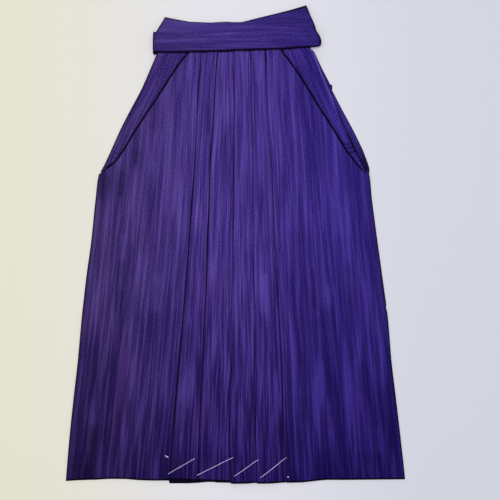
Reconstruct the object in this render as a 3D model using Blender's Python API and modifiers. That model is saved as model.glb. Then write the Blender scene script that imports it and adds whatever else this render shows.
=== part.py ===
"""Hakama trousers laid flat with the front up.

The cloth is built as the maker folds it. Each front leg is one wall of cloth with its knife
pleats folded in, lying on the inner leg panels and the back legs. The two narrow side pleats
lie under the front's slanting edges, and a front band, a back band and the folded ties close
the waist. +Y runs from the hem to the waist, +Z is up, and the back rests on z = 0.
The tables are written in millimetres, and everything else is in metres.
"""

import math

import bpy
import numpy as np

MM = 0.001
CLOTH = 1.0 * MM
GAP = 0.3 * MM
PLY = CLOTH + GAP
TURN_STEPS = 3

LEFT = -1
RIGHT = 1


SHARES = ("share", "level", "rise")


def table(text):
    """A table's columns by the names in its first line: lengths become metres, shares stay."""
    rows = [line.split() for line in text.strip().splitlines()]
    columns = np.array(rows[1:], float).T
    return {
        name: column if name in SHARES else column * MM
        for name, column in zip(rows[0], columns)
    }


# The front, a row for each cross-section from the waist to the hem. edge_l and edge_r are the
# front panels' side edges: the slanting folds above the side openings' ends, and the side
# seams below. p1 to p5 are the pleats' folds, from left to right.
FRONT = table("""
y     edge_l   p1      p2     p3     p4    p5     edge_r
432   -95.0   -71.5   -38.0  -3.6   31.0  63.0    94.0
404   -97.0   -72.5   -39.0  -3.8   31.5  63.6    96.5
392   -106.5  -73.2   -39.8  -3.8   31.7  63.8    105.5
367   -125.5  -75.0   -41.6  -3.8   32.2  64.4    124.3
325   -152.8  -79.4   -44.0  -2.9   33.2  65.5    152.0
283   -180.5  -81.5   -46.6  -2.0   33.8  67.4    177.6
241   -208.7  -83.0   -49.0  -2.6   35.4  70.1    204.2
199   -234.0  -85.3   -52.0  -3.0   36.6  73.6    230.4
174   -251.5  -87.0   -53.7  -3.0   36.8  75.6    249.0
152   -279.0  -88.2   -54.8  -3.0   37.0  76.6    268.8
146   -287.0  -88.5   -55.0  -3.0   37.0  76.8    280.0
93    -294.6  -92.7   -56.5  -3.9   37.3  79.1    286.3
9     -303.2  -98.0   -59.4  -5.1   37.7  82.6    297.4
-75   -314.6  -105.0  -62.0  -7.0   39.2  88.0    309.0
-159  -323.8  -111.8  -66.6  -7.4   40.6  92.2    320.0
-243  -331.5  -119.4  -70.4  -7.2   42.4  97.2    327.0
-327  -341.0  -126.4  -74.2  -12.0  42.6  99.2    337.0
-412  -349.8  -133.1  -77.7  -12.7  42.4  101.8   347.0
-454  -353.4  -137.3  -79.4  -11.2  43.8  103.8   351.5
-496  -356.8  -139.8  -81.5  -9.6   44.8  106.3   355.7
""")

# The side pleats above the side openings' ends: their outer edges on both sides, and how far
# each runs in under the front's slanting fold.
SIDE = table("""
y     outer_l  outer_r  tuck
432   -154.0   150.0    3.5
411   -160.7   154.5    3.9
404   -163.0   163.0    4.0
392   -168.0   169.3    7.5
367   -179.3   179.3    12.0
325   -198.2   197.0    16.0
283   -220.6   214.4    16.0
241   -242.0   233.0    14.0
199   -261.0   252.4    10.0
174   -272.4   265.0    7.0
152   -283.8   275.0    4.5
""")

# The back legs' side edges. On the right the back shows past the front, from a small folded
# corner at its top down to the side opening's end.
BACK = table("""
y     outer_l  outer_r
404   -161.5   165.0
367   -177.0   182.4
335.5 -189.6   198.8
334.5 -190.0   202.6
327   -194.0   203.4
324   -196.0   202.2
283   -218.4   223.4
241   -240.2   246.2
199   -259.6   266.8
165   -275.4   279.6
156   -280.3   281.2
146   -285.4   280.2
93    -293.4   285.6
-75   -313.4   308.4
-243  -330.4   326.2
-412  -348.8   346.3
-454  -352.4   350.8
-496  -355.9   355.0
""")

# How high the front's lowest ply lies over the floor, at the sides and in the middle, and half
# the width of the middle that is raised by the back pleat and the inner leg panels.
BED = table("""
y     side   middle  reach
432   6.5    6.5     26.0
404   6.5    6.5     26.0
392   5.6    5.6     26.0
367   3.2    5.2     26.0
325   1.3    5.2     28.0
-496  1.3    5.2     62.0
""")
BED_SLOPE = 50 * MM

# The hem's line, from left to right: each strip between two pleats ends a little apart.
HEM_Y = -496 * MM
HEM_TURN_Y = -412 * MM
FRONT_HEM = table("""
x       y
-356.8  -497.0
-330.0  -495.2
-296.0  -494.2
-262.7  -492.5
-230.0  -492.8
-205.0  -495.0
-180.0  -495.2
-140.5  -495.0
-139.0  -493.6
-82.0   -494.8
-45.0   -496.0
-12.5   -498.0
-10.0   -500.6
18.0    -500.6
43.0    -499.6
46.0    -500.4
70.0    -500.2
96.0    -500.0
117.0   -499.6
141.0   -499.0
165.0   -496.8
191.0   -494.5
224.0   -494.7
291.0   -494.0
355.7   -493.4
""")
BACK_HEM = table("""
x       y
-355.9  -495.6
-262.0  -491.4
-205.0  -493.8
-180.0  -494.0
-142.0  -495.6
-139.5  -502.4
-100.0  -502.4
-78.0   -501.2
-60.0   -499.4
0.0     -500.4
96.0    -499.6
141.0   -497.6
191.0   -493.2
355.0   -492.2
""")

# Knife pleats: how deep each folds back under itself, at the waist and at the hem.
PLEAT_DEPTH_WAIST = 15 * MM
PLEAT_DEPTH_HEM = 27 * MM
BACK_PLEAT_WAIST = 13 * MM
BACK_PLEAT_HEM = 42 * MM
SETTLE = 45 * MM
TURN_CLEAR = 1.5 * MM

WAIST_Y = 404 * MM
CROTCH_Y = 150 * MM
OPENING_END_Y = 152 * MM
OPENING_FADE = 45 * MM
INNER_TOP = 14 * MM
INNER_HEM = 50 * MM
INNER_HEM_Y = -490 * MM
INNER_BED = 3 * PLY

# The front band's two long edges, from its left end to its right end.
BAND = table("""
x       low    high
-173.5  402.4  444.8
-150.0  402.6  443.0
-106.0  402.2  439.5
-54.0   403.4  440.6
-6.0    405.2  444.8
20.0    406.1  446.9
98.0    408.9  454.3
135.0   413.0  457.5
163.0   414.2  459.5
179.4   418.0  459.5
""")
# Its ends, a row for each line along the band: at what share of its width the line runs, and
# how far out the cloth turns back on each side.
BAND_ENDS = table("""
share  left    right
0.00   -172.8  170.0
0.18   -173.3  178.8
0.36   -173.5  179.0
0.56   -173.5  174.4
0.80   -173.4  167.9
1.00   -173.0  164.5
""")
BAND_BED = 10.4 * MM
BAND_END_BED = 7.8 * MM
BAND_LEVEL_TO = 106 * MM
BAND_DOWN_AT = 136 * MM
BAND_COLUMNS = 7
BAND_ROUND = 12 * MM
BAND_EDGE_FROM = 0.80
BAND_EDGE_DROP = 2.4 * MM
RETURN_BED = 5.2 * MM
RETURN_TO = 100 * MM
RETURN_HIGH = 436 * MM

# The back band's upper edge with the dip where its two halves meet, and its two ends.
BACK_BAND_TOP = table("""
x       y
-148.2  476.8
-125.7  472.1
-96.3   466.9
-54.2   465.2
-18.4   467.2
-7.9    466.2
12.1    466.2
30.0    470.6
51.0    476.0
82.6    483.6
114.1   491.6
135.2   497.8
147.8   501.6
""")
BACK_BAND_MEET = 12.1 * MM
BACK_BAND_LOW_Y = 392 * MM
BACK_BAND_LEVEL_Y = 440 * MM
BACK_BAND_ENDS = table("""
share  left    right
0.00   -150.0  152.0
0.45   -160.0  163.0
0.55   -167.0  169.5
0.63   -164.1  166.6
0.73   -159.5  161.8
0.83   -154.7  155.9
0.93   -150.6  151.6
1.00   -148.2  147.8
""")
# Rows across the back band: the share of the way from the low edge to level, then from level
# to the upper edge, and the height that the band rests at.
BACK_BAND_ROWS = table("""
level  rise  bed
0.0    0.0   3.9
0.5    0.0   3.9
1.0    0.0   3.9
1.0    0.3   5.1
1.0    0.7   4.5
1.0    1.0   1.1
""")

# The ties folded behind the waist: one flat bundle, with its plies showing round the rim.
TIES_OUTLINE = table("""
x       y
-150.0  406.0
150.0   406.0
152.0   440.0
140.0   482.0
60.0    464.0
12.0    455.0
-146.0  456.0
-152.0  440.0
""")
TIES_PLIES = 4
TIES_HEIGHT = 3.6 * MM
TIES_GROOVE = 1.2 * MM
TIES_ROUND = 0.3 * MM

VIOLET = (0.075, 0.045, 0.235, 1)
DEEP_VIOLET = (0.045, 0.028, 0.150, 1)

for old in list(bpy.data.objects):
    bpy.data.objects.remove(old)
garment = bpy.data.collections.new("hakama_trousers")
bpy.context.scene.collection.children.link(garment)


def at(columns, name, y):
    """A column of a table at the height y, straight between its rows."""
    return float(np.interp(-y, -columns["y"], columns[name]))


def between(y, top_y, top, low_y, low):
    """A size that changes evenly from one height of the garment to another."""
    share = min(1.0, max(0.0, (top_y - y) / (top_y - low_y)))
    return top + share * (low - top)


def pleat_depth(y):
    return between(y, WAIST_Y, PLEAT_DEPTH_WAIST, HEM_Y, PLEAT_DEPTH_HEM)


def bed(x, y):
    """The height of the front's lowest ply: level in the middle, sloping down to the sides."""
    side, middle, reach = at(BED, "side", y), at(BED, "middle", y), at(BED, "reach", y)
    share = min(1.0, max(0.0, (reach + BED_SLOPE - abs(x)) / BED_SLOPE))
    return side + share * (middle - side)


def flat(x0, ply0, x1, ply1, parts):
    """Points (x, ply) of a flat stretch of cloth, without its last one."""
    return [
        (x0 + (x1 - x0) * k / parts, ply0 + (ply1 - ply0) * k / parts)
        for k in range(parts)
    ]


def turn(edge, facing, ply0, ply1):
    """Points (x, ply) of a fold: half a circle whose outer face reaches x = edge."""
    radius = PLY / 2
    centre = edge - facing * (radius + CLOTH / 2)
    points = []
    for k in range(TURN_STEPS + 1):
        angle = math.pi * (k / TURN_STEPS - 0.5)
        across = radius * math.cos(angle)
        middle = (ply0 + ply1) / 2
        points.append((centre + facing * across, middle + (ply1 - ply0) / 2 * math.sin(angle)))
    return points


def new_object(name, points, faces, colour):
    """A mesh object in the garment's collection, with its own cloth material."""
    mesh = bpy.data.meshes.new(name)
    mesh.from_pydata(points, [], faces)
    mesh.update()
    mesh.shade_smooth()
    cloth = bpy.data.materials.new(name + "_cloth")
    cloth.use_nodes = True
    shader = cloth.node_tree.nodes["Principled BSDF"]
    shader.inputs["Base Color"].default_value = colour
    shader.inputs["Roughness"].default_value = 0.8
    shader.inputs["Metallic"].default_value = 0.0
    mesh.materials.append(cloth)
    made = bpy.data.objects.new(name, mesh)
    garment.objects.link(made)
    return made


def cloth_wall(name, rows, colour=VIOLET, even=True):
    """A wall of cloth round a grid of middle points, rows of the same number of points.

    An even wall keeps its thickness round the small folds, which needs rows that run straight.
    """
    wide = len(rows[0])
    points = [p for row in rows for p in row]
    faces = []
    for r in range(len(rows) - 1):
        for c in range(wide - 1):
            a = r * wide + c
            faces.append((a, a + wide, a + wide + 1, a + 1))
    made = new_object(name, points, faces, colour)
    wall = made.modifiers.new("wall", "SOLIDIFY")
    wall.thickness = CLOTH
    wall.offset = 0
    wall.use_even_offset = even
    return made


def with_hem(x, y, hem):
    """The height y, moved in the lowest stretch so that the last row follows the hem's line."""
    share = between(y, HEM_TURN_Y, 0.0, HEM_Y, 1.0)
    return y + share * (float(np.interp(x, hem["x"], hem["y"])) - HEM_Y)


def front_row(section, y):
    """Points of the front at one height: a ply's number becomes its height over the bed."""
    return [
        (x, with_hem(x, y, FRONT_HEM), bed(x, y) + ply * PLY + CLOTH / 2)
        for x, ply in section
    ]


def outer_panel(y, edge, pleat_end, facing):
    """Points from a side edge to the nearest pleat: over the side pleat, then down and up."""
    lift = 2 * between(y, OPENING_END_Y, 1.0, OPENING_END_Y - OPENING_FADE, 0.0)
    inside = edge - facing * (at(SIDE, "tuck", y) + TURN_CLEAR)
    up = pleat_end + facing * TURN_CLEAR
    span = abs(inside - up)
    slope = min(SETTLE, 0.4 * span)
    low = 1 - slope / SETTLE
    down_at = inside - facing * slope
    up_from = up + facing * slope
    points = flat(edge, lift, inside, lift, 1)
    points += flat(inside, lift, down_at, low * lift, 1)
    points += flat(down_at, low * lift, up_from, low * 2, 4)
    points += flat(up_from, low * 2, up, 2, 2)
    return points + [(up, 2)]


def knife_pleat(fold, depth, facing):
    """Points of a pleat, from its upper ply round the fold and back out on its lowest ply."""
    end = fold - facing * depth
    return turn(fold, facing, 2, 1) + turn(end, -facing, 1, 0)


def strip(from_fold, to_fold, depth, facing):
    """Points of the strip between two pleats, rising from the one onto the other's plies."""
    start = from_fold + facing * CLOTH
    end = to_fold - facing * (depth + TURN_CLEAR)
    return flat(start, 0, end, 2, 3) + [(end, 2)]


def front_left():
    rows = []
    for y in FRONT["y"]:
        depth = pleat_depth(y)
        edge, p1, p2, p3 = (at(FRONT, name, y) for name in ("edge_l", "p1", "p2", "p3"))
        section = outer_panel(y, edge, p1 - depth, LEFT)
        section += knife_pleat(p1, depth, RIGHT)
        section += strip(p1, p2, depth, RIGHT)
        section += knife_pleat(p2, depth, RIGHT)
        section += flat(p2 + CLOTH, 0, p3 + depth, 0, 4)
        section += [(p3 + depth, 0)]
        rows.append(front_row(section, y))
    cloth_wall("front_left_leg", rows)


def front_right():
    rows = []
    for y in FRONT["y"]:
        depth = pleat_depth(y)
        edge, p3, p4, p5 = (at(FRONT, name, y) for name in ("edge_r", "p3", "p4", "p5"))
        section = outer_panel(y, edge, p5 + depth, RIGHT)
        section += knife_pleat(p5, depth, LEFT)
        section += strip(p5, p4, depth, LEFT)
        section += knife_pleat(p4, depth, LEFT)
        section += strip(p4, p3, depth, LEFT)
        section += turn(p3, LEFT, 2, 1)
        section += [(p3 + depth, 1)]
        rows.append(front_row(section[::-1], y))
    cloth_wall("front_right_leg", rows)


def side_pleat(name, facing, edge_name, outer_name):
    """The narrow leaf-shaped pleat beside a side opening, folded back under the front's edge."""
    rows = []
    for y in SIDE["y"]:
        outer = at(SIDE, outer_name, y)
        fold = at(FRONT, edge_name, y)
        inner = fold - facing * at(SIDE, "tuck", y)
        section = flat(outer, 0, inner + facing * CLOTH, 0, 2)
        section += turn(inner, -facing, 0, 1)
        section += [(fold - facing * CLOTH / 2, 1)]
        rows.append(
            [(x, y, at(BED, "side", y) + ply * PLY + CLOTH / 2) for x, ply in section[::-facing]]
        )
    cloth_wall(name, rows, DEEP_VIOLET)


def back_leg(name, facing, outer_name):
    """A back leg flat on the floor, with half of the centre back's box pleat folded inside."""
    rows = []
    for y in BACK["y"]:
        depth = between(y, WAIST_Y, BACK_PLEAT_WAIST, HEM_Y, BACK_PLEAT_HEM)
        centre = facing * GAP / 2
        section = flat(at(BACK, outer_name, y), 0, centre + facing * 2 * depth, 0, 5)
        section += flat(centre + facing * 2 * depth, 0, centre + facing * 2 * CLOTH, 0, 2)
        section += turn(centre, -facing, 0, 1)
        section += turn(centre + facing * depth, facing, 1, 2)
        section += [(centre + facing * CLOTH / 2, 2)]
        rows.append(
            [
                (x, with_hem(x, y, BACK_HEM), ply * PLY + CLOTH / 2)
                for x, ply in section[::-facing]
            ]
        )
    cloth_wall(name, rows, DEEP_VIOLET)


def inner_leg(name, facing):
    """The panel from the crotch to the hem that joins a front leg to its back leg."""
    rows = []
    for y in np.linspace(CROTCH_Y, INNER_HEM_Y, 5):
        wide = between(y, CROTCH_Y, INNER_TOP, INNER_HEM_Y, INNER_HEM)
        start = facing * GAP / 2
        ends = sorted((start, facing * wide))
        rows.append([(x, y, INNER_BED + CLOTH / 2) for x in np.linspace(*ends, 3)])
    cloth_wall(name, rows, DEEP_VIOLET)


def front_band():
    """The band over the pleats' tops: its two ends turn back behind the side pleats."""
    rows = []
    for share, left, right in zip(*(BAND_ENDS[name] for name in ("share", "left", "right"))):
        section = [(-RETURN_TO, 0), ((left - RETURN_TO) / 2, 0)]
        section += band_turn(left, LEFT)
        section += [(left + BAND_ROUND, 1), (-BAND_DOWN_AT, 1)]
        section += [(x, 1) for x in np.linspace(-BAND_LEVEL_TO, BAND_LEVEL_TO, BAND_COLUMNS)]
        section += [(BAND_DOWN_AT, 1), (right - BAND_ROUND, 1)]
        section += band_turn(right, RIGHT)[::-1]
        section += [((right + RETURN_TO) / 2, 0), (RETURN_TO, 0)]
        rows.append([band_point(x, up, share) for x, up in section])
    cloth_wall("front_band", rows, even=False)


def band_turn(edge, facing):
    """Points (x, share of the height) of the band's end, from its return up to its face."""
    radius = (BAND_END_BED - RETURN_BED) / 2
    centre = edge - facing * (radius + CLOTH / 2)
    angles = math.pi * (np.arange(5) / 4 - 0.5)
    return [(centre + facing * radius * math.cos(a), 0.5 + 0.5 * math.sin(a)) for a in angles]


def band_point(x, up, share):
    """A point of the band: up is 0 on its return and 1 on its face, share runs across it."""
    low = float(np.interp(x, BAND["x"], BAND["low"]))
    high = float(np.interp(x, BAND["x"], BAND["high"]))
    high = RETURN_HIGH + up * (high - RETURN_HIGH)
    level = min(1.0, max(0.0, (BAND_DOWN_AT - abs(x)) / (BAND_DOWN_AT - BAND_LEVEL_TO)))
    face = BAND_END_BED + level * (BAND_BED - BAND_END_BED)
    face -= level * BAND_EDGE_DROP * max(0.0, (share - BAND_EDGE_FROM) / (1 - BAND_EDGE_FROM))
    return (x, low + share * (high - low), RETURN_BED + up * (face - RETURN_BED) + CLOTH / 2)


def back_band(name, facing, end_name):
    """Half of the back waist band: low behind the pleats' tops, rounded over the ties above."""
    rows = []
    meet = BACK_BAND_MEET + facing * GAP / 2
    for level, rise, height in zip(*(BACK_BAND_ROWS[k] for k in ("level", "rise", "bed"))):
        along = (level + rise) / 2
        end = float(np.interp(along, BACK_BAND_ENDS["share"], BACK_BAND_ENDS[end_name]))
        row = []
        for share in np.linspace(0, 1, 7):
            x = meet + share * (end - meet)
            top = float(np.interp(x, BACK_BAND_TOP["x"], BACK_BAND_TOP["y"]))
            y = BACK_BAND_LOW_Y + level * (BACK_BAND_LEVEL_Y - BACK_BAND_LOW_Y)
            y += rise * (top - BACK_BAND_LEVEL_Y)
            row.append((x, y, height + CLOTH / 2))
        rows.append(row[::-facing])
    cloth_wall(name, rows, DEEP_VIOLET)


def folded_ties():
    """The ties' plies in one solid: rings of the outline, drawn in at each groove."""
    outline = np.stack([TIES_OUTLINE["x"], TIES_OUTLINE["y"]], axis=1)
    middle = outline.mean(axis=0)
    ply = TIES_HEIGHT / TIES_PLIES
    rings = []
    for k in range(TIES_PLIES):
        for height, drawn_in in ((0, TIES_GROOVE), (TIES_ROUND, 0), (ply - TIES_ROUND, 0)):
            rings.append((k * ply + height, drawn_in))
    rings.append((TIES_HEIGHT, TIES_GROOVE))
    points = []
    for z, drawn_in in rings:
        for x, y in outline:
            away = np.array((x, y)) - middle
            x, y = middle + away * (1 - drawn_in / np.abs(away).max())
            points.append((x, y, z))
    wide = len(outline)
    faces = [tuple(range(wide))[::-1], tuple(len(points) - wide + k for k in range(wide))]
    for r in range(len(rings) - 1):
        for k in range(wide):
            a, b = r * wide + k, r * wide + (k + 1) % wide
            faces.append((a, b, b + wide, a + wide))
    new_object("folded_ties", points, faces, DEEP_VIOLET)


front_left()
front_right()
side_pleat("side_pleat_left", LEFT, "edge_l", "outer_l")
side_pleat("side_pleat_right", RIGHT, "edge_r", "outer_r")
back_leg("back_left_leg", LEFT, "outer_l")
back_leg("back_right_leg", RIGHT, "outer_r")
inner_leg("inner_leg_left", LEFT)
inner_leg("inner_leg_right", RIGHT)
front_band()
back_band("back_band_left", LEFT, "left")
back_band("back_band_right", RIGHT, "right")
folded_ties()
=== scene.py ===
"""Hakama trousers laid flat with the front up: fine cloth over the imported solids, and the
floor, light and camera that show it. Tables are written in millimetres, all else in metres."""

import math

import bpy
import numpy as np
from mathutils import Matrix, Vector
from mathutils.bvhtree import BVHTree


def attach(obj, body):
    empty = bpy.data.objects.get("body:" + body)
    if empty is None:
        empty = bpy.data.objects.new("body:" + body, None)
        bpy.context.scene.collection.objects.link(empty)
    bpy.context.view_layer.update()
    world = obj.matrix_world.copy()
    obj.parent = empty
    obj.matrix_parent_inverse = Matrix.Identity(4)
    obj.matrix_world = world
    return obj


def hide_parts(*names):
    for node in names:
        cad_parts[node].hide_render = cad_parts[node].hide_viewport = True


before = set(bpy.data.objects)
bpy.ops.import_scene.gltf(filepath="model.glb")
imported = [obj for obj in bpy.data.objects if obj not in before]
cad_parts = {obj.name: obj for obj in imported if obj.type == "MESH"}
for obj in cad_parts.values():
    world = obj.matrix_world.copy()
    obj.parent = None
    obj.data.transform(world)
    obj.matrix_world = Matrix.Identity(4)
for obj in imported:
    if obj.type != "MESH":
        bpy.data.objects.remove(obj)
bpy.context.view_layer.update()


# ---- Floor, light and camera ----
# The trousers lie on a matt pale floor, painted warm on the left and cool and a little dimmer on
# the right as tints of the light, under a wide soft lamp high above the left of the waist. The
# camera looks straight down.

FLOOR_CORNERS = [(-4, -4, 0), (4, -4, 0), (4, 4, 0), (-4, 4, 0)]
FLOOR_WARM = (0.750, 0.734, 0.594, 1)
FLOOR_MIDDLE = (0.742, 0.727, 0.785, 1)
FLOOR_COOL = (0.638, 0.652, 0.720, 1)
WARM_TO_MIDDLE = (-0.50, 0.02)
MIDDLE_TO_COOL = (-0.05, 0.42)
VIEW_CENTRE = (0.030, -0.012)
VIEW_HEIGHT = 1.460
LENS = 50
LAMP_SIZE = 2.6
LAMP_AT = (-0.30, 0.42, 3.6)
LAMP_POWER = 70
ROOM_LIGHT = (0.97, 0.98, 1.0, 1)
ROOM_STRENGTH = 0.62


class Thread:
    """A socket of a shader. Sums and products of threads put Math nodes behind them."""

    def __init__(self, tree, socket=None):
        self.tree = tree
        self.socket = socket

    def node(self, kind, settings=(), values=(), out=0):
        """A new node: its settings are set first, then values or links go to its sockets."""
        made = self.tree.nodes.new("ShaderNode" + kind)
        for name, value in dict(settings).items():
            setattr(made, name, value)
        for name, value in dict(values).items():
            if isinstance(value, Thread):
                self.tree.links.new(value.socket, made.inputs[name])
            else:
                made.inputs[name].default_value = value
        return Thread(self.tree, made.outputs[out])

    def part(self, number):
        """Another output of the node that this thread comes from."""
        return Thread(self.tree, self.socket.node.outputs[number])

    def math(self, operation, first, second=0.0):
        return self.node("Math", {"operation": operation}, {0: first, 1: second})

    def __add__(self, other):
        return self.math("ADD", self, other)

    def __sub__(self, other):
        return self.math("SUBTRACT", self, other)

    def __rsub__(self, other):
        return self.math("SUBTRACT", other, self)

    def __mul__(self, other):
        return self.math("MULTIPLY", self, other)

    __radd__ = __add__
    __rmul__ = __mul__

    def ease(self, low, high):
        """0 below low and 1 above high, with a smooth step between them."""
        values = {"Value": self, "From Min": low, "From Max": high}
        return self.node("MapRange", {"interpolation_type": "SMOOTHSTEP"}, values)

    def mix(self, first, second):
        """The first colour where this thread is 0, and the second where it is 1."""
        return self.node("Mix", {"data_type": "RGBA"}, {0: self, 6: first, 7: second}, 2)

    def dye(self, tone):
        """This colour times a tone, as a dye over it."""
        settings = {"data_type": "RGBA", "blend_type": "MULTIPLY"}
        return self.node("Mix", settings, {0: 1.0, 6: self, 7: tone}, 2)


def new_material(name, roughness, **constants):
    """A material's first thread and its shader, with the finishes that are the same all over."""
    made = bpy.data.materials.new(name)
    made.use_nodes = True
    shader = made.node_tree.nodes["Principled BSDF"]
    shader.inputs["Roughness"].default_value = roughness
    for socket, value in constants.items():
        shader.inputs[socket.replace("_", " ")].default_value = value
    return made, Thread(made.node_tree), shader


def floor_material():
    """Warm white that turns to a neutral and then to a cool, dimmer white along X: painted tints of
    the light.
    """
    made, start, shader = new_material("floor_paper", 0.9, Specular_IOR_Level=0.1)
    across = start.node("SeparateXYZ", values={0: start.node("TexCoord", out=3)})
    tone = across.ease(*WARM_TO_MIDDLE).mix(FLOOR_WARM, FLOOR_MIDDLE)
    tone = across.ease(*MIDDLE_TO_COOL).mix(tone, FLOOR_COOL)
    start.tree.links.new(tone.socket, shader.inputs["Base Color"])
    return made


def add_object(name, data):
    """A new object in the scene that shows the data."""
    made = bpy.data.objects.new(name, data)
    bpy.context.scene.collection.objects.link(made)
    return made


floor_mesh = bpy.data.meshes.new("floor")
floor_mesh.from_pydata(FLOOR_CORNERS, [], [(0, 1, 2, 3)])
floor_mesh.materials.append(floor_material())
floor = add_object("floor", floor_mesh)

lamp_data = bpy.data.lights.new("lamp", "AREA")
lamp_data.size = LAMP_SIZE
lamp_data.energy = LAMP_POWER
lamp = add_object("lamp", lamp_data)
lamp.location = LAMP_AT
lamp.rotation_mode = "QUATERNION"
lamp.rotation_quaternion = Vector(LAMP_AT).to_track_quat("Z", "Y")

room = bpy.data.worlds.new("room")
room.use_nodes = True
background = room.node_tree.nodes["Background"]
background.inputs["Color"].default_value = ROOM_LIGHT
background.inputs["Strength"].default_value = ROOM_STRENGTH
bpy.context.scene.world = room

camera_data = bpy.data.cameras.new("camera")
camera_data.lens = LENS
camera = add_object("camera", camera_data)
camera.location = (*VIEW_CENTRE, VIEW_HEIGHT)
bpy.context.scene.camera = camera
bpy.context.scene.view_settings.view_transform = "Standard"


# ---- Back legs ----
# Two panels of thin kasuri cloth, dyed in soft streaks along the warp. They lie flat on the
# floor, with half of the centre back's box pleat folded inside each, and slack swells in them.

MM = 0.001
WALL = 1.0 * MM
GAP = 0.3 * MM
PLY = WALL + GAP
FACE = 0.8 * MM
LEFT, RIGHT = -1, 1
TURN_STEPS = 6
CURL = 0.45 * MM
RIM = 3.2 * MM
RIM_FULL = 1.7 * MM
RIM_SHADE = 0.93


def table(text):
    """A table's columns by the names in its first line, from millimetres to metres."""
    rows = [line.split() for line in text.strip().splitlines()]
    return dict(zip(rows[0], np.array(rows[1:], float).T * MM))


BACK = table("""
y outer_l outer_r
404 -161.5 165
367 -177 182.4
335.5 -189.6 198.8
334.5 -190 202.6
327 -194 203.4
324 -196 202.2
283 -218.4 223.4
241 -240.2 246.2
199 -259.6 266.8
165 -275.4 279.6
156 -280.3 281.2
146 -285.4 280.2
93 -293.4 285.6
-75 -313.4 308.4
-243 -330.4 326.2
-412 -348.8 346.3
-454 -352.4 350.8
-496 -355.9 355
""")
BACK_HEM = table("""
x y
-355.9 -495.6
-262 -491.4
-205 -493.8
-180 -494
-141 -495.6
-139.2 -502.4
-100 -502.4
-78 -501.2
-60 -499.4
0 -500.4
96 -499.6
141 -497.6
191 -493.2
355 -492.2
""")
WAIST_Y = 404 * MM
HEM_Y = -496 * MM
HEM_TURN_Y = -412 * MM
OPENING_END_Y = 152 * MM
BACK_ROWS = (0.3355, 0.3345, 0.324, 0.156, -0.487, -0.489)
BACK_PLEAT_WAIST = 13 * MM
BACK_PLEAT_HEM = 42 * MM
BACK_STEP = 0.3935
ROW = 4.6 * MM
EDGE_ROW = 0.6 * MM

# Shade on the back where it shows: under the hem's step, in the corner at the band, along the
# side opening between two distances from the edge, and at the opening's foot.
HEM_SHADE = 0.97
HEM_SHADE_TOP = 9 * MM
HEM_SHADE_AT = -76 * MM
HEM_SHADE_HALF = 64 * MM
TAB_FROM = 312 * MM
TAB_OUT = 150 * MM
TAB_SHADE = 0.55
SHOWN_FROM = 252 * MM
SHOWN_FADE = 20 * MM
SHOWN = (3 * MM, 20 * MM)
FOOT_FROM = 214 * MM
FOOT_FADE = 46 * MM
FOOT_DARK = 1.6

# Slack in the back: swells that lift every layer, as lines with a half width and a height.
BACK_SLACK = table("""
x0 y0 x1 y1 half high
-215 180 -262 -330 26 0.8
-150 300 -172 -60 20 0.6
-118 20 -150 -440 24 0.9
152 250 186 -120 22 0.7
206 60 250 -420 27 0.9
120 -160 142 -455 18 0.6
-40 90 -52 -250 16 0.5
300 -120 318 -400 17 0.6
-316 -150 -334 -430 15 0.7
""")
SLACK_FADE = (395 * MM, 330 * MM)

INDIGO = (0.0230, 0.0100, 0.1250, 1)
VIOLET = (0.1150, 0.0680, 0.3750, 1)
MAGENTA = (0.1020, 0.0300, 0.2350, 1)
# Painted tints of the light: greyer on the left and bluer on the right. Painted shade: darker
# towards the hem, where the light's sheen fades.
GREYER = (0.90, 0.92, 0.68, 1)
BLUER = (0.64, 0.63, 0.93, 1)
DEEPER = (0.33, 0.25, 0.46, 1)
DEEPER_FROM = 0.05
DEEPER_OVER = 0.54
WHITE = (1, 1, 1, 1)
# Painted shade dyes the colour toward DEEP_TONE; a painted highlight raises the level by PALER and
# turns the colour toward violet.
DEEP_TONE = (0.035, 0.024, 0.055, 1)
DEEP_SHADE = 0.99
LIGHTER_SHARE = 0.9
PALER = 0.55
CLOTH_ROUGHNESS = 0.88

# Kinds of streaks: width, length, seed, and the noise at which they start and are full. Then
# how much each adds to the paleness, with what changes in the middle of the garment.
BROAD = (46 * MM, 220 * MM, 3.1, 0.30, 0.70)
WIDE = (11 * MM, 210 * MM, 11.7, 0.47, 0.68)
NARROW = (6.5 * MM, 170 * MM, 27.3, 0.47, 0.69)
HAIR = (3.2 * MM, 120 * MM, 41.9, 0.42, 0.70)
RED = (27 * MM, 200 * MM, 57.1, 0.50, 0.72)
PALE_LEAST = 0.05
PALE_MEAN = 0.35
BROAD_ADDS, BROAD_LESS = 0.21, 0.12
WIDE_ADDS, WIDE_ON_BROAD, WIDE_LESS = 0.24, 0.14, 0.35
NARROW_ADDS = 0.30
HAIR_ADDS, HAIR_MORE = 0.13, 0.29
SLUB_ADDS = 1.15
CONTRAST_SOON, CONTRAST_LATE = 0.15, 0.85
MIDDLE = (0.085, 0.130)
GREYER_TO = (-0.30, 0.02)
BLUER_FROM = (-0.02, 0.23)
RAGGED = 0.045
WEFT = 0.9 * MM

# Fine noises of the cloth, in steps to the metre across and along it.
YARN = (900.0, 5.0)
SLUB = (90.0, 75.0)
GRAIN = (1600.0, 300.0)


def straight(columns, name, y):
    """A column at the heights y, straight between its rows, which run down the garment."""
    return np.interp(-y, -columns["y"], columns[name])


def between(y, top_y, top, low_y, low):
    """A size that changes evenly from one height of the garment to another."""
    return top + np.clip((top_y - y) / (top_y - low_y), 0, 1) * (low - top)


def ease(share):
    """0 to 1 with a smooth start and end: 3 s^2 - 2 s^3."""
    share = np.clip(share, 0, 1)
    return share * share * (3 - 2 * share)


def stretch(x, ply, dark):
    """Points of a cross-section, as three layers: x, the ply's number, and the painted shade that
    darkens the cloth in folds and at edges, from 0 to 1, below 0 a painted highlight. Each is a
    number for every point and row."""
    return np.stack(np.broadcast_arrays(x, ply, dark))


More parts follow.
